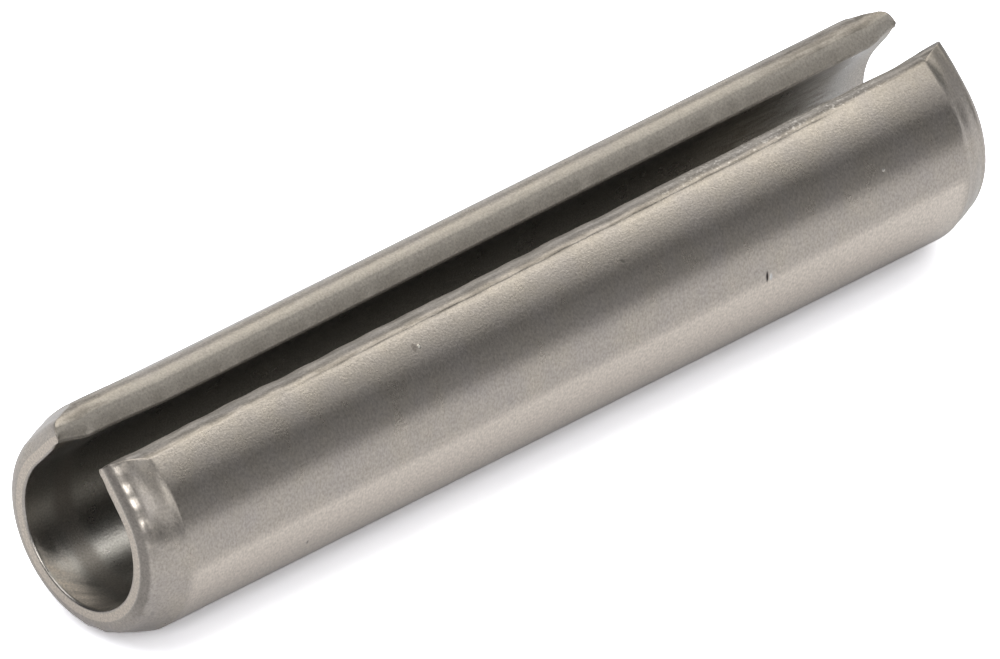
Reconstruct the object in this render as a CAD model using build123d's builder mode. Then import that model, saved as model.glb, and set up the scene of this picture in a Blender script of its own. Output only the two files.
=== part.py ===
"""Spring roll pin: a strip of spring steel with coined edges, sheared across and rolled into a slotted tube.

The pin lies on its side, as it comes to rest. X runs along it, the slot looks up along +Z, and the origin
is on the axis of the bore at mid length. Lengths are in millimetres and angles in degrees.
"""

import os
from math import cos, radians, sin

from build123d import *

os.makedirs("parts", exist_ok=True)

# Rolled tube
outside_diameter = 3.35
pin_length = 16.0
sheet_thickness = 0.55

# Slot. The rolls let go of the strip short of its sheared edges, so each side ends in a straight lip.
lip_bend_angle = 44.0
slot_gap = 0.68

# Coined ends: a long shallow chamfer outside with a rounded rim, and a slightly flared mouth inside.
chamfer_length = 0.60
chamfer_depth = 0.21
shoulder_radius = 0.30
rim_radius = 0.25
mouth_length = 0.50
mouth_depth = 0.03
mouth_edge_radius = 0.03

# Sheared edges along the slot: rolled over outside, then a burnished land, then a fracture that draws back.
rollover_width = 0.20
rollover_depth = 0.17
land_depth = 0.10
fracture_setback = 0.03
inner_corner_radius = 0.04

# Sizes that follow from those above
outside_radius = outside_diameter / 2
bore_radius = outside_radius - sheet_thickness
half_length = pin_length / 2
bend_sin = sin(radians(lip_bend_angle))
bend_cos = cos(radians(lip_bend_angle))
inner_corner_reach = (bore_radius * bend_sin - slot_gap / 2) / bend_cos
lip_length = inner_corner_reach + fracture_setback
land_top = sheet_thickness - rollover_depth
land_bottom = land_top - land_depth

# Plane across the wall where the +Y lip leaves the round part: its x runs along the pin, its y points
# straight out from the axis, and its normal points along the lip towards the slot.
lip_root = Plane(origin=(0, 0, 0), x_dir=(1, 0, 0), z_dir=(0, -bend_cos, bend_sin))

# The like plane on the -Y side, where the round part begins. Its normal points away from the slot.
roll_root = Plane(origin=(0, 0, 0), x_dir=(1, 0, 0), z_dir=(0, -bend_cos, -bend_sin))

# Plane square to the pin at the root of the +Y lip's bore face: its x runs along the lip towards the
# slot, and its y points out through the wall.
lip_side = Plane(
    origin=(0, bore_radius * bend_sin, bore_radius * bend_cos),
    x_dir=(0, -bend_cos, bend_sin),
    z_dir=(-1, 0, 0),
)

# Section of the strip from end to end, as its edges are coined before it is rolled. Its x is the place
# along the pin, and its y the distance from the axis.
with BuildSketch() as strip_section:
    with BuildLine():
        Polyline(
            (0, bore_radius),
            (half_length - mouth_length, bore_radius),
            (half_length, bore_radius + mouth_depth),
            (half_length, outside_radius - chamfer_depth),
            (half_length - chamfer_length, outside_radius),
            (0, outside_radius),
        )
        mirror(about=Plane.YZ)
    make_face()
    outer_corners = strip_section.vertices().group_by(Axis.Y)[-1].sort_by(Axis.X)
    fillet([outer_corners[0], outer_corners[-1]], radius=shoulder_radius)
    end_corners = strip_section.vertices().group_by(Axis.X)[0] + strip_section.vertices().group_by(Axis.X)[-1]
    fillet(end_corners.group_by(Axis.Y)[-1], radius=rim_radius)
    end_corners = strip_section.vertices().group_by(Axis.X)[0] + strip_section.vertices().group_by(Axis.X)[-1]
    fillet(end_corners.group_by(Axis.Y)[0], radius=mouth_edge_radius)

# One straight lip: the strip's section drawn out along the lip, kept to the form of its sheared edge.
with BuildPart() as lip:
    with BuildSketch(lip_root):
        add(strip_section.sketch)
    extrude(amount=lip_length)
    with BuildSketch(lip_side) as sheared_edge:
        with BuildLine():
            Polyline(
                (lip_length - rollover_width, sheet_thickness),
                (0, sheet_thickness),
                (0, 0),
                (inner_corner_reach, 0),
                (lip_length, land_bottom),
                (lip_length, land_top),
            )
            EllipticalCenterArc(
                center=(lip_length - rollover_width, land_top),
                x_radius=rollover_width,
                y_radius=rollover_depth,
                start_angle=0,
                arc_size=90,
            )
        make_face()
        fillet(sheared_edge.vertices().group_by(Axis.Y)[0].sort_by(Axis.X)[-1], radius=inner_corner_radius)
    extrude(amount=half_length, both=True, mode=Mode.INTERSECT)

# The whole pin: the section rolled round the axis from one lip to the other, with a lip at each side.
with BuildPart() as spring_pin:
    with BuildSketch(roll_root):
        add(strip_section.sketch)
    revolve(axis=Axis.X, revolution_arc=360 - 2 * lip_bend_angle)
    add(lip.part)
    mirror(lip.part, about=Plane.XZ)

spring_pin.part.label = "spring_pin"
export_step(spring_pin.part, "parts/spring_pin.step")
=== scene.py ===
"""Spring roll pin, dressed: one fine surface with coined ends, sheared lips and a tumbled finish, on paper.

Lengths in the classes are in millimetres and angles in degrees. They become metres where a mesh is filled.
X runs along the pin, the slot looks up along +Z, and the origin is on the axis of the bore at mid length.
"""

import logging
import math
from dataclasses import dataclass
from enum import Enum, IntEnum

import bpy
import numpy as np
from mathutils import Matrix, Vector


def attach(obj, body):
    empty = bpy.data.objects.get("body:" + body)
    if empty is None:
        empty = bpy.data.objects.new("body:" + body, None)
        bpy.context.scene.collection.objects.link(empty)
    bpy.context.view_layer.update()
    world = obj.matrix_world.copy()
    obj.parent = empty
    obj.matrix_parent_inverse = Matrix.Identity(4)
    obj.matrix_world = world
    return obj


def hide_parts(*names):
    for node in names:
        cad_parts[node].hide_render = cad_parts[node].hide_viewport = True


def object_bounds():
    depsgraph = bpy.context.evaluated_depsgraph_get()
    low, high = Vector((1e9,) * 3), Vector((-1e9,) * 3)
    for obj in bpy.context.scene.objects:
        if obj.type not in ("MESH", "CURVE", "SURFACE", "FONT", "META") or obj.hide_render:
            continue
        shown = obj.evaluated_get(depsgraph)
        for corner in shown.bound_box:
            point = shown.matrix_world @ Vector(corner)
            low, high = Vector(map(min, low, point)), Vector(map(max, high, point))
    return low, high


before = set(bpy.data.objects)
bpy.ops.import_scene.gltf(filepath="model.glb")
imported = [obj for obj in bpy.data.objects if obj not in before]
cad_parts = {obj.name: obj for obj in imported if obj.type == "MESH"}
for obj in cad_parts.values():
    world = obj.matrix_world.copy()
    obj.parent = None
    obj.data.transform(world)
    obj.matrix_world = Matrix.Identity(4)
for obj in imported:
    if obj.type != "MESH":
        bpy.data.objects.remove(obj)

CAD_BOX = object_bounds()
MM = 0.001
log = logging.getLogger("spring_roll_pin")


class Lip(Enum):
    """The side of the slot on which a lip stands: the value is the sign of its Y and of its s."""

    NEAR = -1
    FAR = 1


class Zone(IntEnum):
    """The part of the strip's section to which a point belongs, in order round a lip."""

    SKIN = 0
    ROLLOVER = 1
    LAND = 2
    TORN = 3
    BORE = 4


def linear(code: str) -> tuple[float, float, float, float]:
    """Turns an sRGB hex colour into linear light, channel by channel with the sRGB curve.

    Args:
        code: the colour as six hex digits.

    Returns:
        Linear red, green and blue, and an alpha of one.
    """
    share = np.array([int(code[i:i + 2], 16) for i in (0, 2, 4)]) / 255
    light = np.where(share <= 0.04045, share / 12.92, ((share + 0.055) / 1.055) ** 2.4)
    return (*light.tolist(), 1.0)


def add_node(
    tree: bpy.types.NodeTree,
    kind: str,
    inputs: dict[str | int, object] | None = None,
    **settings: object,
) -> bpy.types.Node:
    """Adds one node, sets its options, and fills or links its input sockets.

    Args:
        tree: the node tree that gets the node.
        kind: the node's type name.
        inputs: socket name or number to a value, or to the output socket that feeds it.
        settings: the node's own options by name.

    Returns:
        The new node.
    """
    node = tree.nodes.new(kind)
    for name, value in settings.items():
        setattr(node, name, value)
    for name, value in (inputs or {}).items():
        socket = node.inputs[name]
        if isinstance(value, bpy.types.NodeSocket):
            tree.links.new(value, socket)
        else:
            socket.default_value = value
    return node


def rounded_corner(
    before: tuple[float, float], corner: tuple[float, float], after: tuple[float, float],
    radius: float, count: int,
) -> np.ndarray:
    """Gives the points of the arc that rounds a corner between two straight runs.

    The centre lies on the corner's bisector, at radius / sin(half angle) from it. A point of the arc is
    the centre plus a turn from the first spoke to the second, in even steps.

    Args:
        before: a point on the run that comes to the corner.
        corner: the corner itself.
        after: a point on the run that leaves the corner.
        radius: the arc's radius.
        count: how many points the arc has, both tangent points among them.

    Returns:
        The points, count rows of two.
    """
    point = np.array(corner)
    back = np.array(before) - point
    ahead = np.array(after) - point
    back = back / np.linalg.norm(back)
    ahead = ahead / np.linalg.norm(ahead)
    half_angle = math.acos(float(back @ ahead)) / 2
    bisector = (back + ahead) / np.linalg.norm(back + ahead)
    centre = point + bisector * radius / math.sin(half_angle)
    reach = radius / math.tan(half_angle)
    spoke_in = point + back * reach - centre
    spoke_out = point + ahead * reach - centre
    turn = math.pi - 2 * half_angle
    share = np.linspace(0, 1, count)[:, None]
    arc = np.sin((1 - share) * turn) * spoke_in + np.sin(share * turn) * spoke_out
    return centre + arc / math.sin(turn)


def even_steps(count: int, to_one: bool = True) -> np.ndarray:
    """Goes from nought to one in even steps, as a row without the nought, or else without the one."""
    shares = np.linspace(0, 1, count + 1)[None]
    return shares[:, 1:] if to_one else shares[:, :-1]


def bell(value: np.ndarray, middle: float, width: float) -> np.ndarray:
    """Gives a smooth hump: one at the middle, then e to the minus square of the distance over the width."""
    return np.exp(-(((value - middle) / width) ** 2))


@dataclass(frozen=True)
class Ramp:
    """A smooth passage between two values, along three t squared less two t cubed."""

    low: float
    high: float

    def rise(self, value: np.ndarray) -> np.ndarray:
        """Goes from nought at the low value to one at the high value."""
        share = np.clip((value - self.low) / (self.high - self.low), 0, 1)
        return share * share * (3 - 2 * share)

    def fall(self, value: np.ndarray) -> np.ndarray:
        """Goes from one at the low value to nought at the high value."""
        return 1 - self.rise(value)


@dataclass(frozen=True)
class Band:
    """A stretch with soft edges: nought outside low and high, and one between the two full values."""

    low: float
    low_full: float
    high_full: float
    high: float

    def share(self, value: np.ndarray) -> np.ndarray:
        """Gives how far a value lies in the stretch."""
        return Ramp(self.low, self.low_full).rise(value) * Ramp(self.high_full, self.high).fall(value)


@dataclass(frozen=True)
class Waves:
    """An uneven line: sine waves whose lengths lie between two sizes, added up and scaled to about one."""

    shortest: float
    longest: float
    count: int
    seed: int

    def at(self, place: np.ndarray) -> np.ndarray:
        """Gives the line's height. The seed fixes the waves, so that each run gives the same line.

        Args:
            place: where along the line, in the same unit as the wave lengths.

        Returns:
            The height at each place.
        """
        dice = np.random.default_rng(self.seed)
        lengths = self.shortest * (self.longest / self.shortest) ** dice.random(self.count)
        phases = dice.random(self.count) * 2 * np.pi
        angle = place[..., None] * (2 * np.pi / lengths) + phases
        return np.sin(angle).sum(-1) * math.sqrt(2 / self.count)


@dataclass(frozen=True)
class NoisePattern:
    """A random pattern on the strip: its patch size along the pin, round it and through the wall."""

    size: tuple[float, float, float]
    detail: float
    roughness: float = 0.5


@dataclass(frozen=True)
class SkinMark:
    """A small mark on the outer skin: an ellipse that fades at its edge.

    Its place and half sizes are on the strip: along the pin, and round it. A depth above nought is a
    hollow, and one below nought a bump.
    """

    along: float
    round_place: float
    half_length: float
    half_width: float
    skin: str
    depth: float = 0.0
    tilt: float = 0.0


@dataclass(frozen=True)
class TumbledSpringSteel:
    """Spring steel, rolled, heat treated and tumbled with stones, left plain.

    Tumbling leaves a satin skin of tiny overlapping scuffs, so reflections spread wide and the surface
    shows a fine grain. The grain of the real skin is a few hundredths of a millimetre, which is as fine
    as the image can show, and is drawn at that size. The rolls leave faint lines round the pin. The torn
    faces and the mouths of the bore are rougher, because the stones hardly reach them.

    A scale is four numbers: the low and high level of a pattern or height, and the values that they turn
    into. A mark's edge says where it has faded out and where it is full, in half sizes of its ellipse.
    """

    slot: str = "spring_steel"
    wall: float = 0.55
    skin: str = "B1A99E"
    skin_cool: str = "ADA69F"
    skin_scale: tuple[float, float, float, float] = (0.35, 0.65, 0.0, 1.0)
    roughness: float = 0.235
    roughness_spread: float = 0.10
    # Lighter, smoother skin: a painted reflection band on the near flank, and painted highlights on the
    # glint's spots.
    sheen_skin: str = "CDC4B9"
    polish_roughness: float = 0.28
    # Darker, rougher skin: its darkness is painted shade, on the rim's band, the near lip's far corner and
    # end, a ring in the near bore, and between the glint's spots.
    painted_shade_skin: str = "8F8982"
    dull_roughness: float = 0.46
    torn_skin: str = "B4AEA5"
    torn_roughness: float = 0.58
    # Lighter, rough skin in the bore's mouths, its lighter colour painted light where light comes in; the
    # flat ring at each end takes most of it too.
    mouth_light_skin: str = "DDD3C6"
    mouth_roughness: float = 0.70
    bore_skin: str = "AFADA9"
    bore_scale: tuple[float, float, float, float] = (0.03, 0.0, 0.0, 0.9)
    # Darker skin: burr streaks on the rollovers, and painted shade in the near crease and in the bore
    # towards the far end.
    burr_and_shade_skin: str = "7D776F"
    streak_scale: tuple[float, float, float, float] = (0.38, 0.62, 0.2, 1.0)
    speck_skin: str = "D3CDC4"
    speck_scale: tuple[float, float, float, float] = (0.56, 0.66, 0.0, 1.0)
    grain_scale: tuple[float, float, float, float] = (0.3, 0.7, 0.79, 1.16)
    grain_height: float = 0.0026
    roll_line_share: float = 0.35
    mark_edge: tuple[float, float] = (1.15, 0.55)
    mottle: NoisePattern = NoisePattern((0.60, 0.60, 0.60), 5.0, 0.65)
    grain: NoisePattern = NoisePattern((0.032, 0.032, 0.032), 3.0, 0.6)
    roll_lines: NoisePattern = NoisePattern((0.045, 1.6, 1.0), 2.0)
    specks: NoisePattern = NoisePattern((0.055, 0.055, 0.055), 1.0)
    streaks: NoisePattern = NoisePattern((0.45, 0.07, 0.07), 3.0)
    marks: tuple[SkinMark, ...] = (
        SkinMark(3.505, -1.794, 0.024, 0.062, "3A3432", 0.012, 4.0),
        SkinMark(3.575, -1.775, 0.030, 0.040, "C3C2BF"),
        SkinMark(-2.575, -2.808, 0.026, 0.030, "DAD6CC", -0.006),
        SkinMark(-2.660, -2.824, 0.050, 0.060, "8E877F"),
        SkinMark(-7.16, 3.118, 0.16, 0.016, "6B655E", 0.006, 1.5),
        SkinMark(-6.86, 3.100, 0.10, 0.012, "7A736B", 0.004, -2.0),
        # Painted shade where the near cone's shoulder meets the lip at the far end.
        SkinMark(7.50, -2.90, 0.090, 0.230, "8B867E", 0.0015),
        SkinMark(1.15, -2.60, 0.045, 0.020, "8A857D", 0.0008, 20.0),
        SkinMark(-5.10, -1.35, 0.020, 0.030, "8A857D", 0.004),
        SkinMark(5.90, -2.25, 0.030, 0.018, "CFCBC3", -0.003),
    )

    def material(self) -> bpy.types.Material:
        """Makes the steel's material from the strip coordinates, the zones and the marks on the mesh.

        Returns:
            The material.
        """
        steel = bpy.data.materials.new("tumbled_spring_steel")
        steel.use_nodes = True
        tree = steel.node_tree
        tree.nodes.clear()
        strip = add_node(tree, "ShaderNodeAttribute", attribute_name="strip_mm").outputs["Vector"]
        in_wall = add_node(tree, "ShaderNodeSeparateXYZ", {0: strip}).outputs["Z"]
        mottle, grain, roll_lines, specks, streaks = (
            add_node(
                tree, "ShaderNodeTexNoise",
                {
                    "Vector": add_node(
                        tree, "ShaderNodeMapping",
                        {"Vector": strip, "Scale": tuple(1 / size for size in pattern.size)},
                    ).outputs["Vector"],
                    "Scale": 1.0, "Detail": pattern.detail, "Roughness": pattern.roughness,
                },
            ).outputs["Fac"]
            for pattern in (self.mottle, self.grain, self.roll_lines, self.specks, self.streaks)
        )
        *shares, shade = (
            add_node(
                tree, "ShaderNodeMapRange",
                {"Value": value, "From Min": low, "From Max": high, "To Min": start, "To Max": end},
            ).outputs["Result"]
            for value, (low, high, start, end) in (
                (mottle, self.skin_scale), (in_wall, self.bore_scale), (specks, self.speck_scale),
                (streaks, self.streak_scale), (grain, self.grain_scale),
            )
        )
        colour, rough = self.skins(tree, mottle, shares)
        colour, hollow = self.marked(tree, strip, colour)
        speckled = add_node(
            tree, "ShaderNodeMix", {"Factor": 1.0, "A": colour, "B": shade},
            data_type="RGBA", blend_type="MULTIPLY",
        )
        height = add_node(
            tree, "ShaderNodeMath", {0: roll_lines, 1: self.roll_line_share, 2: grain},
            operation="MULTIPLY_ADD",
        ).outputs[0]
        for operation, value in (("MULTIPLY", self.grain_height), ("SUBTRACT", hollow)):
            height = add_node(tree, "ShaderNodeMath", {0: height, 1: value}, operation=operation).outputs[0]
        bump = add_node(tree, "ShaderNodeBump", {"Height": height, "Strength": 1.0, "Distance": MM})
        shader = add_node(
            tree, "ShaderNodeBsdfPrincipled",
            {
                "Base Color": speckled.outputs["Result"], "Metallic": 1.0,
                "Roughness": rough, "Normal": bump.outputs["Normal"],
            },
        )
        add_node(tree, "ShaderNodeOutputMaterial", {"Surface": shader.outputs["BSDF"]})
        return steel

    def skins(
        self, tree: bpy.types.NodeTree, mottle: bpy.types.NodeSocket, shares: list[bpy.types.NodeSocket]
    ) -> tuple[bpy.types.NodeSocket, bpy.types.NodeSocket]:
        """Lays the skins over each other: plain, bore, the four worked zones, the burr and the specks.
        The polished zone carries painted sheen and highlights, the dull zone painted shade, the mouth
        painted light, and the burr's streaks painted shade in the crease and the bore.

        Args:
            tree: the material's node tree.
            mottle: the broad pattern that varies the roughness.
            shares: the share of the cooler tone, of the bore, and the patterns of specks and streaks.

        Returns:
            The colour and the roughness.
        """
        cool, in_bore, speck_share, streak_share = shares
        shade_and_dull, torn, mouth, polish_and_sheen, specks, burr = (
            add_node(
                tree, "ShaderNodeSeparateXYZ",
                {0: add_node(tree, "ShaderNodeAttribute", attribute_name=name).outputs["Vector"]},
            ).outputs[axis] for name in ("zones", "marks") for axis in "XYZ"
        )
        streaked_burr_and_shade, spotted = (
            add_node(tree, "ShaderNodeMath", {0: share, 1: pattern}, operation="MULTIPLY").outputs[0]
            for share, pattern in ((burr, streak_share), (specks, speck_share))
        )
        rough = add_node(
            tree, "ShaderNodeMath", {0: mottle, 1: self.roughness_spread, 2: self.roughness},
            operation="MULTIPLY_ADD",
        ).outputs[0]
        colour = linear(self.skin)
        for share, skin, roughness in (
            (cool, self.skin_cool, None),
            (in_bore, self.bore_skin, None),
            (polish_and_sheen, self.sheen_skin, self.polish_roughness),
            (shade_and_dull, self.painted_shade_skin, self.dull_roughness),
            (torn, self.torn_skin, self.torn_roughness),
            (mouth, self.mouth_light_skin, self.mouth_roughness),
            (streaked_burr_and_shade, self.burr_and_shade_skin, None),
            (spotted, self.speck_skin, None),
        ):
            colour = add_node(
                tree, "ShaderNodeMix", {"Factor": share, "A": colour, "B": linear(skin)}, data_type="RGBA"
            ).outputs["Result"]
            if roughness is not None:
                rough = add_node(
                    tree, "ShaderNodeMix", {"Factor": share, "A": rough, "B": roughness}, data_type="FLOAT"
                ).outputs["Result"]
        return colour, rough

    def marked(
        self, tree: bpy.types.NodeTree, strip: bpy.types.NodeSocket, colour: bpy.types.NodeSocket
    ) -> tuple[bpy.types.NodeSocket, bpy.types.NodeSocket]:
        """Adds the small marks, each as far as a point lies inside its ellipse.

        Args:
            tree: the material's node tree.
            strip: the strip coordinates.
            colour: the colour under the marks.

        Returns:
            The colour with the marks, and how deep the surface is hollowed by them.
        """
        hollow = 0.0
        far, full = self.mark_edge
        for mark in self.marks:
            place = add_node(
                tree, "ShaderNodeMapping",
                {
                    "Vector": strip, "Location": (mark.along, mark.round_place, self.wall),
                    "Rotation": (0.0, 0.0, math.radians(mark.tilt)),
                    "Scale": (mark.half_length, mark.half_width, self.wall / 2),
                },
                vector_type="TEXTURE",
            ).outputs["Vector"]
            away = add_node(tree, "ShaderNodeVectorMath", {0: place}, operation="LENGTH").outputs["Value"]
            spot = add_node(
                tree, "ShaderNodeMapRange", {"Value": away, "From Min": far, "From Max": full}
            ).outputs["Result"]
            colour = add_node(
                tree, "ShaderNodeMix", {"Factor": spot, "A": colour, "B": linear(mark.skin)},
                data_type="RGBA",
            ).outputs["Result"]
            if mark.depth:
                hollow = add_node(
                    tree, "ShaderNodeMath", {0: spot, 1: mark.depth, 2: hollow}, operation="MULTIPLY_ADD"
                ).outputs[0]
        return colour, hollow


@dataclass(frozen=True)
class StudioPaper:
    """Uncoated white paper: a matt sheet that shows no gloss, only the pin's soft shadow."""

    sheet: str = "EAEBEF"
    camera_gain: float = 2.9
    mirrored_gain: float = 1.2

    def material(self) -> bpy.types.Material:
        """Makes the paper: what the camera and the steel see of it is brighter than what it lights.

        Returns:
            The material.
        """
        paper = bpy.data.materials.new("white_paper")
        paper.use_nodes = True
        tree = paper.node_tree
        tree.nodes.clear()
        path = add_node(tree, "ShaderNodeLightPath")
        mirrored = add_node(
            tree, "ShaderNodeMath",
            {0: path.outputs["Is Glossy Ray"], 1: path.outputs["Is Transmission Ray"]}, operation="MAXIMUM",
        )
        shown = linear(self.sheet)
        for ray, gain in (
            (mirrored.outputs[0], self.mirrored_gain),
            (path.outputs["Is Camera Ray"], self.camera_gain),
        ):
            bright = (*(gain * np.array(linear(self.sheet)[:3])).tolist(), 1.0)
            shown = add_node(
                tree, "ShaderNodeMix", {"Factor": ray, "A": shown, "B": bright}, data_type="RGBA"
            ).outputs["Result"]
        shader = add_node(tree, "ShaderNodeBsdfDiffuse", {"Color": shown})
        add_node(tree, "ShaderNodeOutputMaterial", {"Surface": shader.outputs["BSDF"]})
        return paper


@dataclass(frozen=True)
class RolledTube:
    """The rolled strip: a round with a nearly straight lip at each side of the slot.

    A point of the strip is given by three lengths: its place x along the pin, the distance s round the
    strip on its bore face from the bottom, and the height h in the wall from that face. On the near side
    s is below nought.
    """

    outside_diameter: float = 3.35
    length: float = 16.0
    wall: float = 0.55
    lip_bend: float = 44.0
    lip_curl: float = 4.0
    slot_gap: float = 0.68
    fracture_setback: float = 0.03
    line_steps: int = 4000

    @property
    def half_length(self) -> float:
        """Half the pin's length, which is the place x of its far end."""
        return self.length / 2

    @property
    def bore_radius(self) -> float:
        """The bore's radius."""
        return self.outside_diameter / 2 - self.wall

    @property
    def lip_length(self) -> float:
        """The lip's length on the bore face, from the bend to the sheared edge."""
        sine, cosine = math.sin(math.radians(self.lip_bend)), math.cos(math.radians(self.lip_bend))
        return (self.bore_radius * sine - self.slot_gap / 2) / cosine + self.fracture_setback

    @property
    def round_length(self) -> float:
        """The bore face's arc from the bottom to where the curvature eases for the lip."""
        return self.bore_radius * math.radians(180 - self.lip_bend - self.lip_curl / 2)

    @property
    def edge_place(self) -> float:
        """The distance s of the sheared edge from the bottom."""
        return self.bore_radius * math.radians(180 - self.lip_bend) + self.lip_length

    def line(self, s: np.ndarray) -> tuple[np.ndarray, np.ndarray, np.ndarray]:
        """Follows the bore face round the pin, from the bottom towards one lip.

        The direction turns by s / bore radius along the round part. Along the lip it turns by lip_curl in
        all, evenly. The place is the running sum of short steps in that direction.

        Args:
            s: distances along the bore face.

        Returns:
            The angle of the outward normal from straight down, the place outwards, and the place upwards.
        """
        table = np.linspace(0, self.edge_place + self.wall, self.line_steps + 1)
        lip_turn = math.radians(self.lip_curl) / (self.edge_place - self.round_length)
        on_lip = np.clip(table - self.round_length, 0, None)
        turned = np.minimum(table, self.round_length) / self.bore_radius + on_lip * lip_turn
        step = table[1] - table[0]
        middle = (turned[1:] + turned[:-1]) / 2
        across = np.concatenate([[0], np.cumsum(np.cos(middle) * step)])
        up = np.concatenate([[0], np.cumsum(np.sin(middle) * step)]) - self.bore_radius
        return np.interp(s, table, turned), np.interp(s, table, across), np.interp(s, table, up)


@dataclass(frozen=True)
class CoinedEnd:
    """A coined end: a long shallow cone with a rounded shoulder and rim outside, and a flared mouth.

    The die leaves a low wave on the cone, which fades towards the rim and towards the shoulder. The
    wave's start is its distance from the end of the pin.
    """

    chamfer_length: float = 0.60
    chamfer_depth: float = 0.21
    shoulder_radius: float = 0.30
    rim_radius: float = 0.25
    die_wave: float = 0.004
    die_wave_length: float = 0.33
    die_wave_start: float = 0.275
    rim_fade: float = 0.03
    shoulder_fade: float = 0.10
    mouth_length: float = 0.50
    mouth_depth: float = 0.008
    mouth_edge: float = 0.04
    body_steps: int = 120
    shoulder_steps: int = 7
    cone_steps: int = 14
    rim_steps: int = 22
    mouth_steps: int = 7

    def stations(self, tube: RolledTube) -> tuple[np.ndarray, np.ndarray]:
        """Runs the strip's section from mid length to one end, outside and in the bore, with equal counts.

        Outside it goes along the body, round the shoulder, down the cone and round the rim to the flat
        ring. The die's wave is a sine added to the height. In the bore it follows the flared mouth.

        Args:
            tube: the strip's sizes.

        Returns:
            Rows of (x, h) for the outer face and for the bore face. Both end on the flat ring.
        """
        half, wall = tube.half_length, tube.wall
        crease = (half - self.chamfer_length, wall)
        rim = (half, wall - self.chamfer_depth)
        shoulder = rounded_corner((0, wall), crease, rim, self.shoulder_radius, self.shoulder_steps)
        rim_arc = rounded_corner(crease, rim, (half, 0), self.rim_radius, self.rim_steps)
        share = np.linspace(0, 1, self.cone_steps + 2)[1:-1, None]
        cone = shoulder[-1] + (rim_arc[0] - shoulder[-1]) * share
        body_x = np.linspace(0, shoulder[0, 0], self.body_steps, endpoint=False)
        body = np.stack([body_x, np.full_like(body_x, wall)], -1)
        outer = np.concatenate([body, shoulder, cone, rim_arc])
        back = half - outer[:, 0]
        rim_top = half - rim_arc[0, 0]
        on_cone = Band(
            rim_top - self.rim_fade, rim_top + self.rim_fade,
            self.chamfer_length - self.shoulder_fade, self.chamfer_length,
        ).share(back)
        phase = (back - self.die_wave_start) * 2 * np.pi / self.die_wave_length
        outer[:, 1] += on_cone * self.die_wave * np.sin(phase)
        mouth_start = (half - self.mouth_length, 0.0)
        mouth = (half, self.mouth_depth)
        mouth_arc = rounded_corner(mouth_start, mouth, (half, wall), self.mouth_edge, self.mouth_steps)
        between = len(outer) - self.body_steps - self.mouth_steps
        flare_x = np.linspace(shoulder[0, 0], mouth_arc[0, 0], between, endpoint=False)
        bore_x = np.concatenate([body_x, flare_x])
        bore_h = self.mouth_depth * np.clip((bore_x - mouth_start[0]) / self.mouth_length, 0, None)
        inner = np.concatenate([np.stack([bore_x, bore_h], -1), mouth_arc])
        return outer, inner


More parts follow.
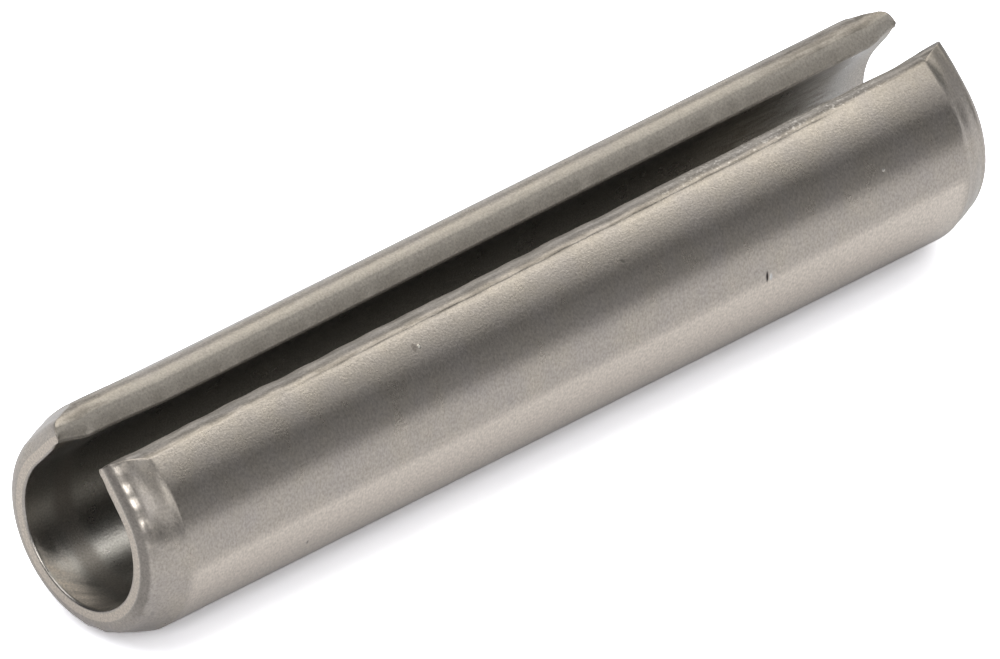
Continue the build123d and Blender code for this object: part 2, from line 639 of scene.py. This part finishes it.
@dataclass(frozen=True)
class ShearedLip:
    """One side's end of the strip, as the shear and the rolls leave it.

    The rollover is part of an ellipse, from its start to its end in degrees from straight out. Below it
    come the burnished land and the torn face, which draws back. A burr hangs into the bore, worn off
    towards the ends of the pin. The most that the burr's lift and the inner corner take of the height
    under the land are shares of it. A run is along the pin, and the crease fades where the cone leaves
    less of the wall.
    """

    edge_waves: Waves
    notches: Waves
    crease_depth: float
    crease_run: Band
    crease_unevenness: float = 0.0
    crease_waves: Waves = Waves(0.3, 2.5, 8, 31)
    crease_width: float = 0.030
    crease_sharpness: float = 1.6
    crease_wall: Ramp = Ramp(0.5, 0.9)
    short: float = 0.0
    corner_reach: float = 0.0
    corner_run: Ramp = Ramp(6.9, 7.8)
    thinning: float = 0.043
    raggedness: float = 0.004
    rollover_width: float = 0.292
    rollover_depth: float = 0.41
    rollover_start: float = 16.0
    rollover_end: float = 68.0
    least_rollover: float = 0.04
    worn_rollover: Ramp = Ramp(0.35, 1.0)
    land_top: float = 0.25
    land_low: float = 0.19
    notch_share: float = 0.22
    tear_power: float = 1.5
    corner_radius: float = 0.05
    most_corner: float = 0.5
    most_lift: float = 0.3
    inner_burr: float = 0.028
    burr_width: float = 0.35
    end_rise: float = 0.05
    end_zone: Ramp = Ramp(0.0, 0.60)
    round_steps: int = 40
    lip_steps: int = 8
    crease_steps: int = 5
    rollover_steps: int = 13
    land_steps: int = 4
    torn_steps: int = 12
    corner_steps: int = 6

    def section(self, tube: RolledTube, outer: np.ndarray, inner: np.ndarray) -> tuple[np.ndarray, ...]:
        """Runs round half the strip at every station, from the outer bottom over the lip to the bore.

        Where the cone has lowered the outer face, less of the rollover's ellipse is left, but never less
        than the least. The land's foot goes down in step with its top.

        Args:
            tube: the strip's sizes.
            outer: the outer face's (x, h) at each station.
            inner: the bore face's (x, h) at each station.

        Returns:
            Grids of x, s and h, stations by points, then the zone of each point, and how far each point
            belongs to the sheared face.
        """
        x_out, h_out = outer[:, :1], outer[:, 1:]
        x_in, h_in = inner[:, :1], inner[:, 1:]
        short = self.short - self.corner_reach * self.corner_run.rise(x_out)
        edge = tube.edge_place - short + self.raggedness * self.edge_waves.at(x_out)
        wall_share = (h_out - h_in) / tube.wall
        crown = h_out - self.thinning * wall_share
        last = math.radians(self.rollover_end)
        most = math.cos(math.radians(self.rollover_start)) - math.cos(last)
        least = self.least_rollover / self.rollover_depth
        reach = np.clip((crown - self.land_top) / self.rollover_depth, least, most)
        first = np.arccos(reach + math.cos(last))
        crease = edge - self.rollover_width * (math.sin(last) - np.sin(first))
        sweep = first + (last - first) * even_steps(self.rollover_steps)
        top = crown - self.rollover_depth * reach
        low = top * self.land_low / self.land_top
        down = even_steps(self.land_steps)
        torn, home = self.inner_runs(tube, outer, inner, edge, low)
        runs = {
            Zone.SKIN: self.skin_run(tube, outer, wall_share, crease),
            Zone.ROLLOVER: (
                edge - self.rollover_width * (math.sin(last) - np.sin(sweep)),
                top + self.rollover_depth * (np.cos(sweep) - math.cos(last)),
            ),
            Zone.LAND: (edge + 0 * down, top + (low - top) * down),
            Zone.TORN: torn,
            Zone.BORE: home,
        }
        s, h = (np.concatenate(parts, 1) for parts in zip(*runs.values()))
        x = x_in + (x_out - x_in) * np.clip((h - h_in) / (h_out - h_in), 0, 1)
        zone = np.repeat(list(runs), [run[0].shape[1] for run in runs.values()])
        sheared = np.where((zone == Zone.LAND) | (zone == Zone.TORN), 1.0, 0.0)
        sheared[zone == Zone.ROLLOVER] = self.worn_rollover.rise(np.linspace(0, 1, self.rollover_steps))
        return x, s, h, zone, sheared

    def skin_run(
        self, tube: RolledTube, outer: np.ndarray, wall_share: np.ndarray, crease: np.ndarray
    ) -> tuple[np.ndarray, np.ndarray]:
        """Runs over the outer skin, from the bottom to the crease: the round, the lip, and the crease.

        The wall thins with the square of the way along the lip. The crease is a fine groove, a bell taken
        off the height, clear on the near lip and faint at one end of the far lip.

        Args:
            tube: the strip's sizes.
            outer: the outer face's (x, h) at each station.
            wall_share: how much of the wall the cone has left.
            crease: the distance s at which the rollover begins.

        Returns:
            Grids of s and h.
        """
        x, h = outer[:, :1], outer[:, 1:]
        back = self.crease_width * np.linspace(2, 0, self.crease_steps)[None]
        lip = crease - back[:, :1] - tube.round_length
        s = np.concatenate([
            tube.round_length * even_steps(self.round_steps, False) + 0 * crease,
            tube.round_length + lip * even_steps(self.lip_steps, False), crease - back,
        ], 1)
        along = np.clip((s - tube.round_length) / (crease - tube.round_length), 0, None)
        groove = bell(crease - s, self.crease_width, self.crease_width / self.crease_sharpness)
        uneven = 1 - self.crease_unevenness * (1 - self.crease_waves.at(x))
        deep = self.crease_depth * uneven * self.crease_run.share(x) * self.crease_wall.rise(wall_share)
        return s, h - self.thinning * wall_share * along ** 2 - deep * groove

    def inner_runs(
        self, tube: RolledTube, outer: np.ndarray, inner: np.ndarray, edge: np.ndarray, low: np.ndarray
    ) -> tuple[tuple[np.ndarray, np.ndarray], ...]:
        """Runs down the torn face and round the inner corner, and then home along the bore face.

        The torn face draws back, unevenly except at the ends of the pin. The burr lowers the bore face at
        the lip, and at the ends of the pin the face stands back there.

        Args:
            tube: the strip's sizes.
            outer: the outer face's (x, h) at each station.
            inner: the bore face's (x, h) at each station.
            edge: the distance s of the sheared edge.
            low: the height of the land's foot.

        Returns:
            The torn run and the bore run, each as grids of s and h.
        """
        h = inner[:, 1:]
        end_out, end_in = (
            self.end_zone.fall(tube.half_length - np.abs(face[:, :1])) for face in (outer, inner)
        )
        rise = self.end_rise * end_in - self.inner_burr * (1 - end_in)

        def bore_height(s: np.ndarray) -> np.ndarray:
            """Gives the bore face's height at distances s."""
            share = Ramp(tube.edge_place - self.burr_width, tube.edge_place).rise(s)
            return h + np.minimum(rise * share, self.most_lift * (low - h))

        base = bore_height(edge)
        corner = np.minimum(self.corner_radius, self.most_corner * (low - base))
        uneven = self.notch_share * self.notches.at(outer[:, :1]) * (1 - end_out)
        draw = tube.fracture_setback * (1 + uneven)
        torn = even_steps(self.torn_steps)
        bend = np.pi / 2 * even_steps(self.corner_steps)
        start = edge - draw - corner
        torn_s = np.concatenate([edge - draw * torn ** self.tear_power, start + corner * np.cos(bend)], 1)
        torn_h = [low + (base + corner - low) * torn, base + corner - corner * np.sin(bend)]
        home_s = np.concatenate([
            start + (tube.round_length - start) * even_steps(self.lip_steps + self.crease_steps - 1),
            tube.round_length * (1 - even_steps(self.round_steps)) + 0 * start,
        ], 1)
        return (torn_s, np.concatenate(torn_h, 1)), (home_s, bore_height(home_s))


@dataclass(frozen=True)
class StripGrid:
    """Where every vertex is on the strip, as grids of stations along the pin by points round its section.

    The zone and the share of the sheared face are rows, alike at all stations. The angle is that of the
    outward normal from straight down. Across and up are the place of the bore face under the vertex.
    """

    tube: RolledTube
    x: np.ndarray
    s: np.ndarray
    h: np.ndarray
    zone: np.ndarray
    sheared: np.ndarray
    angle: np.ndarray
    across: np.ndarray
    up: np.ndarray

    @property
    def degrees(self) -> np.ndarray:
        """The angle of the outward normal from straight down, in degrees."""
        return np.degrees(self.angle)

    @property
    def near_deep(self) -> np.ndarray:
        """The distance from the near end of the pin."""
        return self.tube.half_length + self.x

    @property
    def deep(self) -> np.ndarray:
        """The distance from the end of the pin that is the nearer one."""
        return self.tube.half_length - np.abs(self.x)

    @property
    def back(self) -> np.ndarray:
        """The distance from the sheared edge, along the bore face."""
        return self.tube.edge_place - np.abs(self.s)

    def on(self, lip: Lip) -> np.ndarray:
        """Says which vertices are on one side of the pin."""
        return np.sign(self.s) == lip.value


@dataclass(frozen=True)
class FormedShape:
    """What the rolls, the shear and the die leave uneven in this one pin, and how its slot twists.

    The corners of both lips spread outwards at the ends, and the far lip's most at the near end. The far
    lip is sprung out, more towards the far end. A low ridge runs along the near flank. The near rim is
    slightly wavy, and the die has raised a fine ridge at the near cone's shoulder.

    Zones are distances from an end of the pin, but the lip zone and the rim corner are distances from the
    sheared edge. The outside begins at its share of the wall, and the spring's run is along the pin.
    """

    twist: float = 4.2
    corner_spread: float = 0.03
    corner_zone: Ramp = Ramp(0.0, 0.60)
    far_corner_spread: float = 0.045
    far_corner_zone: Ramp = Ramp(0.70, 2.20)
    lip_zone: Ramp = Ramp(0.0, 0.80)
    far_lip_rise: float = 0.012
    far_lip_spring: float = 0.042
    spring_run: tuple[float, float] = (-4.8, 8.0)
    spring_bend: float = 0.5
    outside_share: float = 0.5
    flank_angle: float = 89.0
    flank_width: float = 5.0
    flank_height: float = 0.012
    flank_zone: Ramp = Ramp(0.15, 0.70)
    rim_unevenness: float = 0.006
    rim_waves: Waves = Waves(0.19, 0.30, 6, 41)
    rim_zone: Ramp = Ramp(0.06, 0.20)
    rim_height: Ramp = Ramp(0.2, 0.3)
    rim_corner: Ramp = Ramp(0.05, 0.25)
    die_ridge: float = 0.0030
    die_ridge_width: float = 0.02

    def points(self, grid: StripGrid, chamfer_length: float) -> np.ndarray:
        """Places the vertices: the bore face's place plus the height times the outward normal.

        To the height in the wall come the uneven forms, each times the shares of its zones. The flank's
        ridge falls off along e to the minus distance over its width, and the die's ridge is a bell. The
        whole section then turns about the axis by the twist, in step with x.

        Args:
            grid: where the vertices are on the strip.
            chamfer_length: the cone's length, at which its shoulder stands.

        Returns:
            The vertices in millimetres.
        """
        tube, near = grid.tube, grid.on(Lip.NEAR)
        outside = Ramp(self.outside_share * tube.wall, tube.wall).rise(grid.h)
        far_corner = self.far_corner_zone.fall(grid.near_deep) * grid.on(Lip.FAR)
        corners = self.corner_spread * self.corner_zone.fall(grid.deep) + self.far_corner_spread * far_corner
        sprung = self.far_lip_rise + self.far_lip_spring * np.interp(grid.x, self.spring_run, (0, 1))
        sprung = sprung * Ramp(tube.round_length - self.spring_bend, tube.edge_place).rise(grid.s)
        flank = np.exp(-np.abs(grid.degrees - self.flank_angle) / self.flank_width)
        flank = self.flank_height * flank * self.flank_zone.rise(grid.deep) * outside * near
        rim = self.rim_zone.fall(grid.near_deep) * self.rim_height.rise(grid.h)
        rim = self.rim_unevenness * rim * self.rim_corner.rise(grid.back) * near * self.rim_waves.at(grid.s)
        ridge = self.die_ridge * bell(grid.near_deep, chamfer_length, self.die_ridge_width) * outside
        height = grid.h + corners * self.lip_zone.fall(grid.back) + sprung + flank + rim + ridge
        y = np.sign(grid.s) * (grid.across + height * np.sin(grid.angle))
        z = grid.up - height * np.cos(grid.angle)
        turn = np.radians(self.twist) * grid.x / grid.tube.length
        return np.stack([
            grid.x, y * np.cos(turn) + z * np.sin(turn), z * np.cos(turn) - y * np.sin(turn),
        ], -1)


@dataclass(frozen=True)
class SkinPlaces:
    """Where the steel's skin is other than on the plain body, and how strongly. Several places carry
    painted light or shade: the sheen band, the glint, the dull zone, the mouth and some streaks.

    A name with turn is in degrees of the outward normal from straight down, one with run is a place
    along the pin, one with deep is a distance from an end of it, and one with height is in the wall.
    A side of the mouth is a stretch of s, and what lies back is at a distance from the sheared edge.
    """

    rim_height: Band = Band(0.164, 0.206, 0.304, 0.346)
    rim_deep: float = 0.1
    rim_turn: Ramp = Ramp(42.0, 75.0)
    glint_height: Band = Band(0.29, 0.32, 0.38, 0.41)
    glint_deep: float = 0.3
    glint_turn: Ramp = Ramp(98.0, 116.0)
    glint_waves: Waves = Waves(0.20, 0.27, 5, 43)
    glint_spots: Ramp = Ramp(-0.5, 0.3)
    corner_share: float = 0.9
    corner_run: Ramp = Ramp(7.38, 7.46)
    corner_turn: Ramp = Ramp(142.0, 152.0)
    lip_end_share: float = 0.8
    lip_end_run: Ramp = Ramp(5.6, 7.3)
    lip_end_turn: Ramp = Ramp(130.0, 143.0)
    ring_share: float = 0.75
    ring_deep: Band = Band(0.40, 0.62, 0.78, 0.98)
    mouth_deep: Ramp = Ramp(0.112, 0.56)
    mouth_edge_deep: Ramp = Ramp(0.02, 0.06)
    mouth_far_side: Ramp = Ramp(0.35, 1.15)
    mouth_far_side_fade: float = 0.95
    mouth_border: float = 0.1
    mouth_border_waves: Waves = Waves(0.15, 0.5, 5, 47)
    mouth_near_side: Ramp = Ramp(-0.5, 0.1)
    mouth_near_side_fade: float = 0.55
    mouth_clouds: Waves = Waves(0.12, 0.4, 6, 53)
    mouth_cloud_share: float = 0.15
    far_mouth_share: float = 0.25
    flat_ring_share: float = 0.7
    flat_ring_deep: float = 1e-4
    sheen_turn: Band = Band(46.0, 58.0, 88.5, 91.5)
    sheen_deep: Ramp = Ramp(0.55, 0.75)
    speck_share: float = 0.75
    speck_run: Band = Band(1.6, 3.4, 6.2, 6.9)
    near_burr: float = 0.65
    near_burr_more: float = 0.35
    near_burr_run: Ramp = Ramp(7.1, 7.4)
    far_burr: float = 0.15
    far_burr_more: float = 0.6
    far_burr_run: Ramp = Ramp(5.0, 6.2)
    far_burr_start_run: Ramp = Ramp(-7.3, -6.7)
    crease_back: float = 0.215
    crease_width: float = 0.038
    crease_height: float = 0.3
    crease_run: Band = Band(-6.0, -3.5, 5.0, 6.0)
    bore_shade_share: float = 0.7
    bore_shade_run: Ramp = Ramp(4.4, 5.6)
    bore_shade_deep: Ramp = Ramp(0.45, 0.95)

    def glint(self, grid: StripGrid) -> tuple[np.ndarray, np.ndarray]:
        """Gives the rim's row of glint spots under the near lip: painted highlights, lighter and smoother,
        by turns with painted shade, darker and rougher.

        Args:
            grid: where the vertices are.

        Returns:
            How far each vertex is polished, and how far it is dull.
        """
        row = self.glint_height.share(grid.h) * self.glint_turn.rise(grid.degrees)
        row = row * (grid.near_deep < self.glint_deep) * grid.on(Lip.NEAR) * (grid.zone <= Zone.ROLLOVER)
        spots = self.glint_spots.rise(self.glint_waves.at(grid.s))
        return row * spots, row * (1 - spots)

    def mouth(self, grid: StripGrid) -> np.ndarray:
        """Gives the rough band in the bore's mouth, whose lighter colour is painted light, with the flat
        ring before it.

        At the near end the painted light is cloudy, and fades towards both sides, most towards the far one.

        Args:
            grid: where the vertices are.

        Returns:
            How far each vertex belongs to the mouth.
        """
        border = grid.s + self.mouth_border * self.mouth_border_waves.at(grid.x)
        left = 1 - self.mouth_far_side_fade * self.mouth_far_side.rise(border)
        left = left * (1 - self.mouth_near_side_fade * self.mouth_near_side.fall(grid.s))
        left = left * (1 - self.mouth_cloud_share * (1 - self.mouth_clouds.at(grid.s + grid.x)))
        band = self.mouth_deep.fall(grid.deep) * self.mouth_edge_deep.rise(grid.deep)
        band = band * np.where(grid.x < 0, np.clip(left, 0, 1), self.far_mouth_share)
        flat = self.flat_ring_share * (grid.deep < self.flat_ring_deep)
        return np.maximum(band * (grid.zone == Zone.BORE), flat)

    def zones(self, grid: StripGrid) -> np.ndarray:
        """Gives the worked zones: the dull zone, the torn face and the mouth.

        The dull zone is rougher, and darker as painted shade: the rim's band at both ends, the near lip's
        corner and lip at the far end, a ring in the bore behind the near mouth, and the glint's dark spots.

        Args:
            grid: where the vertices are.

        Returns:
            Three shares for each vertex.
        """
        near, turn = grid.on(Lip.NEAR), grid.degrees
        # Painted shade: the darker skin on the rim's band, the bore ring, the near lip's far corner and end.
        rim = self.rim_height.share(grid.h) * self.rim_turn.rise(turn) * near * (grid.deep < self.rim_deep)
        ring = self.ring_share * self.ring_deep.share(grid.deep) * (grid.x < 0) * (grid.zone == Zone.BORE)
        corner = self.corner_share * self.corner_run.rise(grid.x) * self.corner_turn.rise(turn)
        lip_end_shade = self.lip_end_share * self.lip_end_run.rise(grid.x) * self.lip_end_turn.rise(turn)
        corner = corner * near * (grid.zone <= Zone.ROLLOVER)
        lip_end_shade = lip_end_shade * near * (grid.zone == Zone.SKIN)
        dull_and_shade = np.maximum.reduce([rim, ring, corner, lip_end_shade, self.glint(grid)[1]])
        return np.stack([dull_and_shade, np.broadcast_to(grid.sheared, dull_and_shade.shape), self.mouth(grid)], -1)

    def marks(self, grid: StripGrid) -> np.ndarray:
        """Gives the sheen band, the specks and the dark streaks.

        The sheen band lies on the near flank, a painted reflection, lighter and smoother, with the glint's
        spots as painted highlights, and the specks on the near rollover. Streaked are both rollovers with
        burr, and, as painted shade, the crease and the bore towards the far end.

        Args:
            grid: where the vertices are.

        Returns:
            Three shares for each vertex.
        """
        x, zone, near = grid.x, grid.zone, grid.on(Lip.NEAR)
        # Painted reflection: a lighter, smoother band along the near flank, plus the glint's painted
        # highlights.
        polish_and_sheen = self.sheen_turn.share(grid.degrees) * self.sheen_deep.rise(grid.deep)
        polish_and_sheen = polish_and_sheen * near * (zone == Zone.SKIN) + self.glint(grid)[0]
        specks = self.speck_share * self.speck_run.share(x) * near * (zone == Zone.ROLLOVER)
        far_burr = self.far_burr + self.far_burr_more * (
            self.far_burr_run.rise(x) + self.far_burr_start_run.fall(x)
        )
        near_burr = self.near_burr + self.near_burr_more * self.near_burr_run.rise(x)
        burr = np.where(grid.on(Lip.FAR), far_burr, near_burr) * (zone == Zone.ROLLOVER)
        # Painted shade: a darker line along the near crease.
        crease = bell(grid.back, self.crease_back, self.crease_width) * self.crease_run.share(x)
        crease = crease * near * (zone == Zone.SKIN) * (grid.h > self.crease_height)
        # Painted shade: darker in the bore towards the far end.
        bore_shade = self.bore_shade_share * self.bore_shade_run.rise(x) * self.bore_shade_deep.rise(grid.deep)
        return np.stack([polish_and_sheen, specks, burr + crease + bore_shade * (zone == Zone.BORE)], -1)


@dataclass(frozen=True)
class RolledPin:
    """The pin: a strip with coined edges, sheared across, rolled to a slotted tube, as one closed surface.

    The near lip is a little shorter, but its corner at the far end reaches further.
    """

    tube: RolledTube = RolledTube()
    end: CoinedEnd = CoinedEnd()
    near_lip: ShearedLip = ShearedLip(
        edge_waves=Waves(0.5, 4.0, 9, 10), notches=Waves(0.2, 0.9, 14, 11), crease_depth=0.006,
        crease_run=Band(-6.0, -1.5, 5.0, 6.0), crease_unevenness=0.1, short=0.02, corner_reach=0.045,
    )
    far_lip: ShearedLip = ShearedLip(
        edge_waves=Waves(0.5, 4.0, 9, 20), notches=Waves(0.2, 0.9, 14, 21), crease_depth=0.0042,
        crease_run=Band(5.4, 5.9, 6.5, 7.0),
    )
    shape: FormedShape = FormedShape()
    places: SkinPlaces = SkinPlaces()
    finish: TumbledSpringSteel = TumbledSpringSteel()

    def grid(self) -> StripGrid:
        """Joins the two half sections at every station into one loop round the strip.

        The loop starts on the near sheared face, goes over the outer skin to the far one, and comes home
        through the bore. The stations run from the near end to the far end.

        Returns:
            Where the vertices are.
        """
        outer, inner = (np.concatenate([row[:0:-1] * (-1, 1), row]) for row in self.end.stations(self.tube))
        near, far = (lip.section(self.tube, outer, inner) for lip in (self.near_lip, self.far_lip))
        middle = far[0].shape[1] // 2 - 1
        x, s, h, zone, sheared = (
            np.concatenate([part[..., middle:0:-1] * sign, other, part[..., -2:middle:-1] * sign], -1)
            for part, other, sign in zip(near, far, (1, Lip.NEAR.value, 1, 1, 1))
        )
        return StripGrid(self.tube, x, s, h, zone, sheared, *self.tube.line(np.abs(s)))

    def faces(self, stations: int, around: int) -> np.ndarray:
        """Joins the grid with quads, and each end's ring with quads from the outer face to the bore face.

        Point k of the loop and point around - 1 - k lie across the wall from each other.

        Args:
            stations: how many stations the grid has along the pin.
            around: how many points it has round the section, an even number.

        Returns:
            Rows of four vertex numbers, all turned to face outwards.
        """
        row, column = np.meshgrid(np.arange(stations - 1), np.arange(around), indexing="ij")
        beside = (column + 1) % around
        wall = np.stack([
            row * around + column, row * around + beside,
            (row + 1) * around + beside, (row + 1) * around + column,
        ], -1).reshape(-1, 4)
        k = np.arange(around // 2 - 1)
        ring = np.stack([k, around - 1 - k, around - 2 - k, k + 1], -1)
        last = ring[:, ::-1] + (stations - 1) * around
        return np.concatenate([wall, ring, last])

    def build(self) -> bpy.types.Object:
        """Fills the pin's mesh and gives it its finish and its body.

        The mesh keeps the strip coordinates in millimetres, the zones and the marks for the finish.

        Returns:
            The finished object.
        """
        grid = self.grid()
        points = self.shape.points(grid, self.end.chamfer_length) * MM
        mesh = bpy.data.meshes.new("rolled_pin")
        mesh.from_pydata(points.reshape(-1, 3), [], self.faces(*grid.x.shape))
        mesh.polygons.foreach_set("use_smooth", np.ones(len(mesh.polygons), bool))
        for name, values in (
            ("strip_mm", np.stack([grid.x, grid.s, grid.h], -1)),
            ("zones", self.places.zones(grid)),
            ("marks", self.places.marks(grid)),
        ):
            layer = mesh.attributes.new(name, "FLOAT_VECTOR", "POINT")
            layer.data.foreach_set("vector", values.reshape(-1).astype(np.float32))
        mesh.materials.append(self.finish.material())
        mesh.update()
        pin = bpy.data.objects.new("rolled_pin", mesh)
        bpy.context.scene.collection.objects.link(pin)
        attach(pin, "root")
        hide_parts("spring_pin")
        return pin


@dataclass(frozen=True)
class PaperFloor:
    """The sheet of paper that the pin lies on."""

    half_size: float = 700.0
    steps: int = 9
    finish: StudioPaper = StudioPaper()

    def build(self, height: float) -> bpy.types.Object:
        """Lays the paper flat at the pin's lowest point.

        Args:
            height: the floor's Z in metres.

        Returns:
            The floor.
        """
        line = np.linspace(-self.half_size, self.half_size, self.steps) * MM
        x, y = np.meshgrid(line, line, indexing="ij")
        corner = np.arange(self.steps * self.steps).reshape(self.steps, self.steps)
        quads = np.stack([corner[:-1, :-1], corner[1:, :-1], corner[1:, 1:], corner[:-1, 1:]], -1)
        mesh = bpy.data.meshes.new("paper_floor")
        points = np.stack([x, y, np.full_like(x, height)], -1)
        mesh.from_pydata(points.reshape(-1, 3), [], quads.reshape(-1, 4))
        mesh.materials.append(self.finish.material())
        mesh.update()
        floor = bpy.data.objects.new("paper_floor", mesh)
        bpy.context.scene.collection.objects.link(floor)
        return floor


@dataclass(frozen=True)
class SoftBox:
    """One soft lamp: a panel that looks at the pin, its width as far along X as that lets it.

    Its glow is its brightness, where one is white.
    """

    name: str
    place: tuple[float, float, float]
    width: float
    height: float
    glow: float
    colour: str = "FFFFFF"

    def build(self) -> bpy.types.Object:
        """Makes the lamp. A panel's power is its glow times pi, times its area.

        Returns:
            The lamp.
        """
        lamp = bpy.data.lights.new(self.name, "AREA")
        lamp.shape = "RECTANGLE"
        lamp.size = self.width * MM
        lamp.size_y = self.height * MM
        lamp.energy = self.glow * math.pi * lamp.size * lamp.size_y
        lamp.color = linear(self.colour)[:3]
        holder = bpy.data.objects.new(self.name, lamp)
        holder.location = Vector(self.place) * MM
        back = holder.location.normalized()
        across = (Vector((1, 0, 0)) - back * back.x).normalized()
        holder.rotation_euler = Matrix((across, back.cross(across), back)).transposed().to_euler()
        bpy.context.scene.collection.objects.link(holder)
        return holder


@dataclass(frozen=True)
class Studio:
    """Plain soft light: panels over, behind and before the pin, brighter at its left end, in a grey room."""

    room: str = "43454A"
    boxes: tuple[SoftBox, ...] = (
        SoftBox("roof_panel", (135, 5, 268), 330, 240, 1.55, "FFFDF7"),
        SoftBox("front_roof_panel", (135, -134, 232), 330, 125, 0.56),
        SoftBox("back_panel", (135, 205, 172), 330, 220, 0.65),
        SoftBox("top_left_panel", (-150, 30, 258), 200, 200, 2.4),
        SoftBox("left_panel", (-230, -142, 131), 130, 130, 3.9),
        SoftBox("left_front_panel", (-112, -204, 189), 130, 130, 1.6),
        SoftBox("front_panel", (0, -265, 141), 180, 150, 0.7),
        SoftBox("wide_front_panel", (135, -235, 165), 330, 120, 0.07),
        SoftBox("low_front_panel", (135, -262, 56), 330, 125, 0.22),
        SoftBox("low_back_panel", (135, 262, 56), 330, 125, 0.7),
        SoftBox("right_panel", (285, -50, 70), 200, 150, 0.4),
    )

    def build(self) -> None:
        """Sets the room's grey light and hangs the lamps."""
        world = bpy.data.worlds.new("studio_room")
        world.use_nodes = True
        tree = world.node_tree
        tree.nodes.clear()
        light = add_node(tree, "ShaderNodeBackground", {"Color": linear(self.room), "Strength": 1.0})
        add_node(tree, "ShaderNodeOutputWorld", {"Surface": light.outputs["Background"]})
        bpy.context.scene.world = world
        for box in self.boxes:
            box.build()
        bpy.context.scene.view_settings.view_transform = "Standard"


@dataclass(frozen=True)
class ViewingCamera:
    """The camera at the photograph's angle, with a long lens. Places in the image are in its pixels."""

    image_width: float = 1000.0
    image_height: float = 659.0
    azimuth: float = -42.39
    elevation: float = 33.01
    pixels_per_mm: float = 71.19
    middle_column: float = 503.0
    middle_row: float = 324.1
    lens: float = 1050.0
    sensor: float = 36.0
    clip_factor: float = 20.0

    def build(self) -> bpy.types.Object:
        """Places the camera so that the pin's middle falls on its own pixel at the right scale.

        The distance is the lens times the view's width at the pin, over the sensor's width.

        Returns:
            The camera.
        """
        azimuth, elevation = math.radians(self.azimuth), math.radians(self.elevation)
        back = Vector((
            math.sin(azimuth) * math.cos(elevation), -math.cos(azimuth) * math.cos(elevation),
            math.sin(elevation),
        ))
        turn = (-back).to_track_quat("-Z", "Y")
        view_width = self.image_width / self.pixels_per_mm * MM
        right = (self.image_width / 2 - self.middle_column) / self.pixels_per_mm * MM
        up = (self.middle_row - self.image_height / 2) / self.pixels_per_mm * MM
        data = bpy.data.cameras.new("viewing_camera")
        data.lens = self.lens
        data.sensor_width = self.sensor
        distance = self.lens * view_width / self.sensor
        data.clip_start = distance / self.clip_factor
        data.clip_end = distance * self.clip_factor
        camera = bpy.data.objects.new("viewing_camera", data)
        aim = turn @ Vector((right, up, 0))
        camera.location = aim + back * distance
        camera.rotation_euler = turn.to_euler()
        bpy.context.scene.collection.objects.link(camera)
        bpy.context.scene.camera = camera
        return camera


def main() -> None:
    """Builds the pin, the floor, the light and the camera, in that order, and notes the sizes."""
    logging.basicConfig(level=logging.INFO, format="%(message)s")
    pin = RolledPin().build()
    log.info("pin: %d vertices, %d faces", len(pin.data.vertices), len(pin.data.polygons))
    floor = PaperFloor().build(CAD_BOX[0].z)
    log.info("floor at %.3f mm", floor.data.vertices[0].co.z / MM)
    Studio().build()
    log.info("lamps and room light are set")
    camera = ViewingCamera().build()
    log.info("camera %.0f mm away", camera.location.length / MM)


if __name__ == "__main__":
    main()
